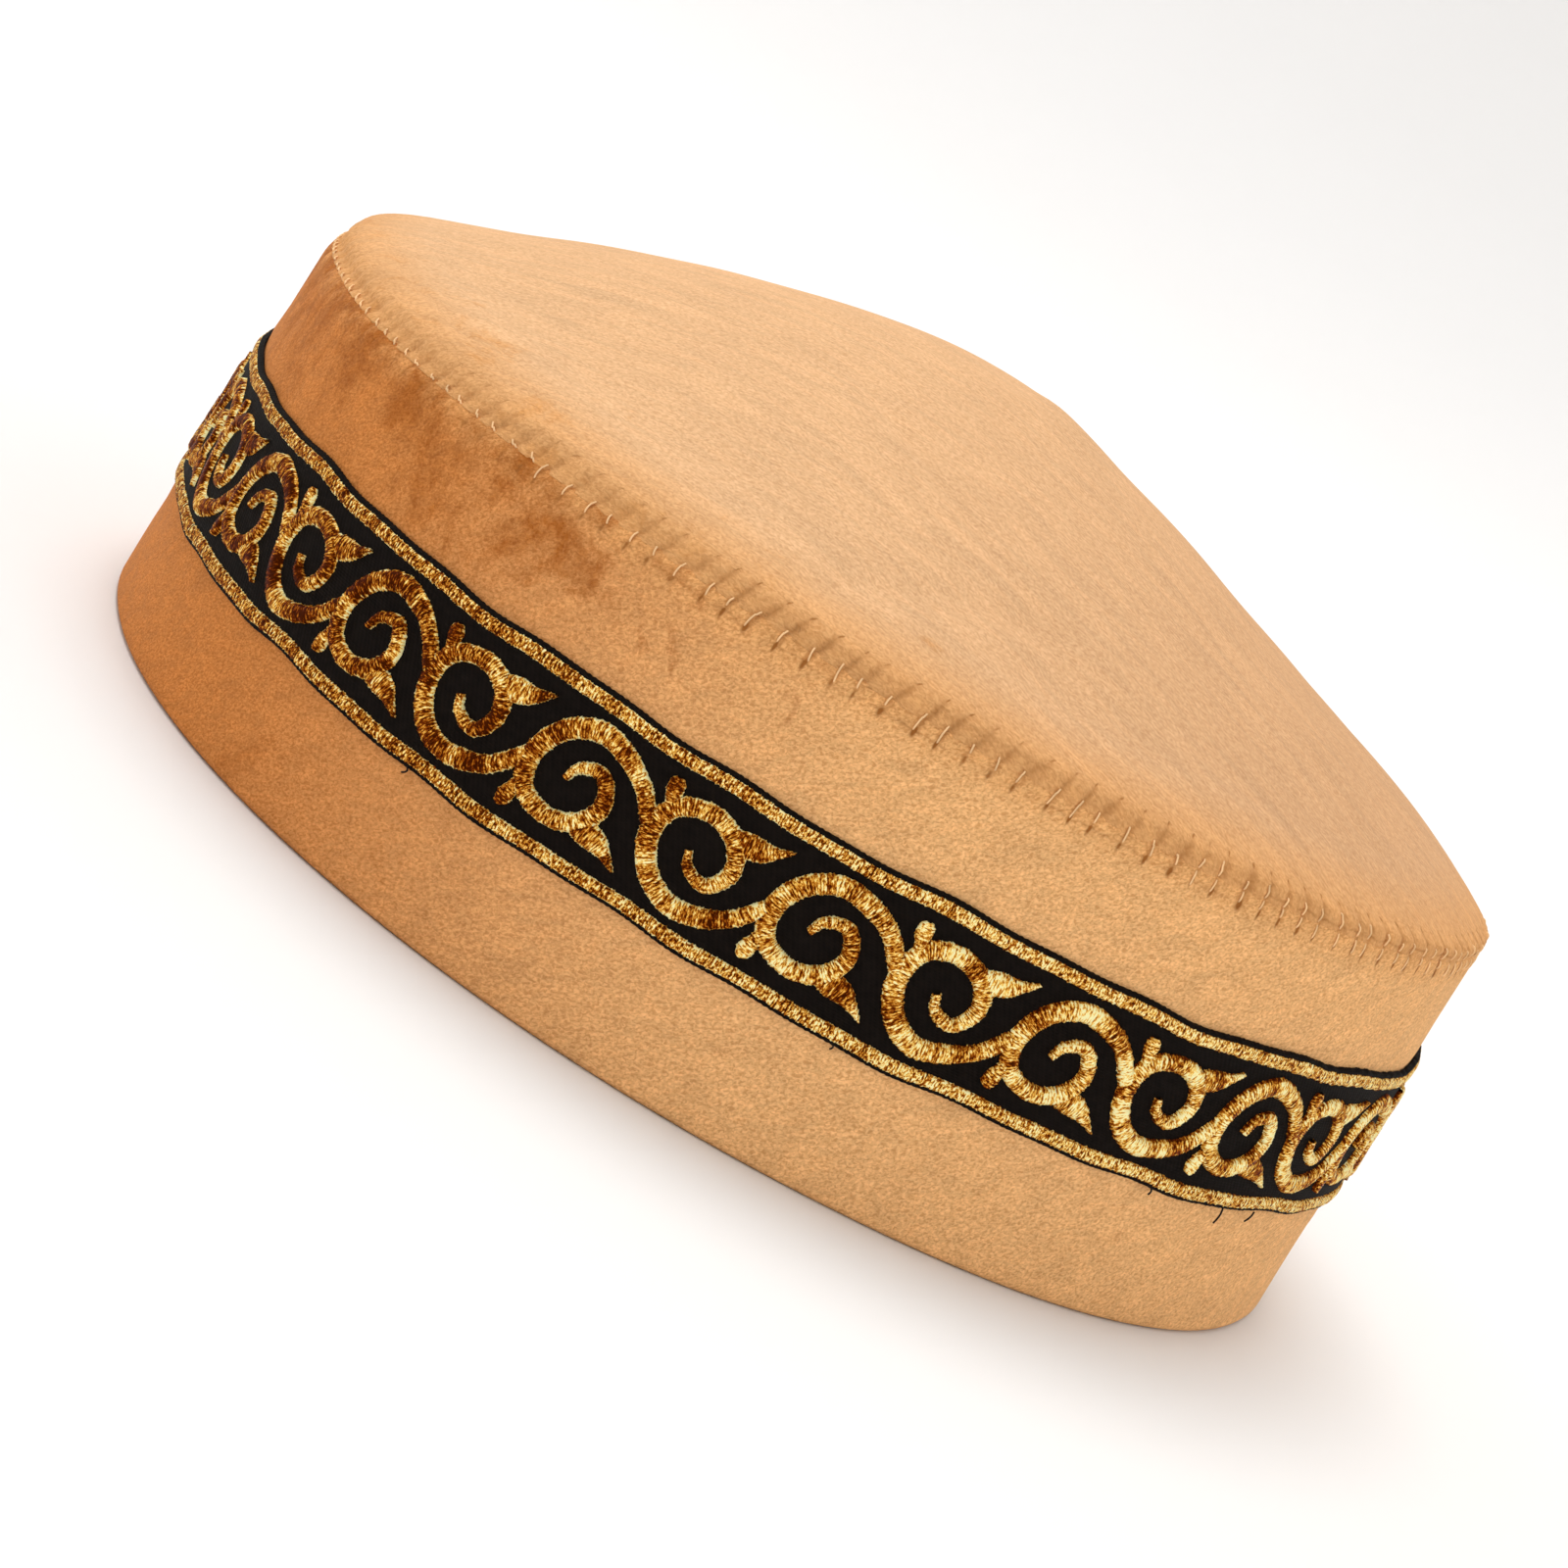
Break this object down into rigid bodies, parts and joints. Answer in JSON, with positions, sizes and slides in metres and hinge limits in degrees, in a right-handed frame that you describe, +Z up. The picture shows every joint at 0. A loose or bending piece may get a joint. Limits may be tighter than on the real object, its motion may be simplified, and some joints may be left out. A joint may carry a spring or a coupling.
{
  "type": "skullcap",
  "caption": "Round velvet skullcap with a domed crown, an upright side band and a black ribbon embroidered with a gold running scroll.",
  "frame": {"origin": "centre of the rim's plan, on the surface that the cap rests on", "axes": "+Z up, from the rim to the crown; -Y the front; +X the wearer's left, to the right in a front view"},
  "size_m": [0.1864, 0.196, 0.0861],
  "materials": {
    "crown_velvet": "short crushed velvet pile, tan, lit on top",
    "band_velvet": "short crushed velvet pile, tan, with darker brushed patches",
    "ribbon_cloth": "matte black woven ribbon",
    "gold_thread": "metallic gold satin stitch"
  },
  "bodies": {
    "root": {"crown": "crown_velvet", "side_band": "band_velvet", "trim_ribbon": "ribbon_cloth", "upper_gold_edge": "gold_thread", "lower_gold_edge": "gold_thread", "scroll_01": "gold_thread", "scroll_02": "gold_thread", "scroll_03": "gold_thread", "scroll_04": "gold_thread", "scroll_05": "gold_thread", "scroll_06": "gold_thread", "scroll_07": "gold_thread", "scroll_08": "gold_thread", "scroll_09": "gold_thread", "scroll_10": "gold_thread", "scroll_11": "gold_thread", "scroll_12": "gold_thread", "scroll_13": "gold_thread", "scroll_14": "gold_thread", "scroll_15": "gold_thread", "scroll_16": "gold_thread", "scroll_17": "gold_thread", "scroll_18": "gold_thread"}
  },
  "joints": []
}
